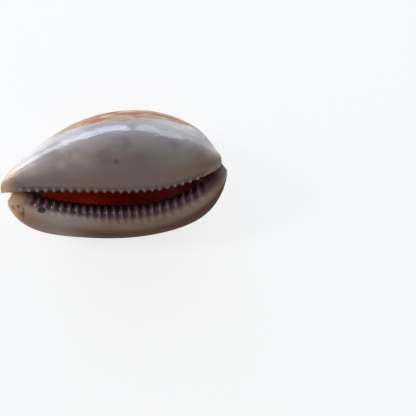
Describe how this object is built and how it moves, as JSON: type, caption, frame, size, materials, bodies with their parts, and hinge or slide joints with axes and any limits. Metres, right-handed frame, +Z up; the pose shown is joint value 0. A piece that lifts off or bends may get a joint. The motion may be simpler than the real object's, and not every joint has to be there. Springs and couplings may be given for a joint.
{
  "type": "cowrie shell",
  "caption": "Glossy egg-shaped cowrie shell lying on its back, with a long toothed slit between two rolled lips and a notch at each end.",
  "frame": {"origin": "centre of the bounding box in X and Y, at the flat spot the shell rests on", "axes": "+Z up, +X along the shell towards its wide posterior end, -Y on the outer-lip side, aperture facing up and slightly to -Y"},
  "size_m": [0.0512, 0.0278, 0.029],
  "materials": {
    "shell": "naturally polished enamel, cream and grey-beige"
  },
  "bodies": {
    "root": {"shell": "shell"}
  },
  "joints": []
}
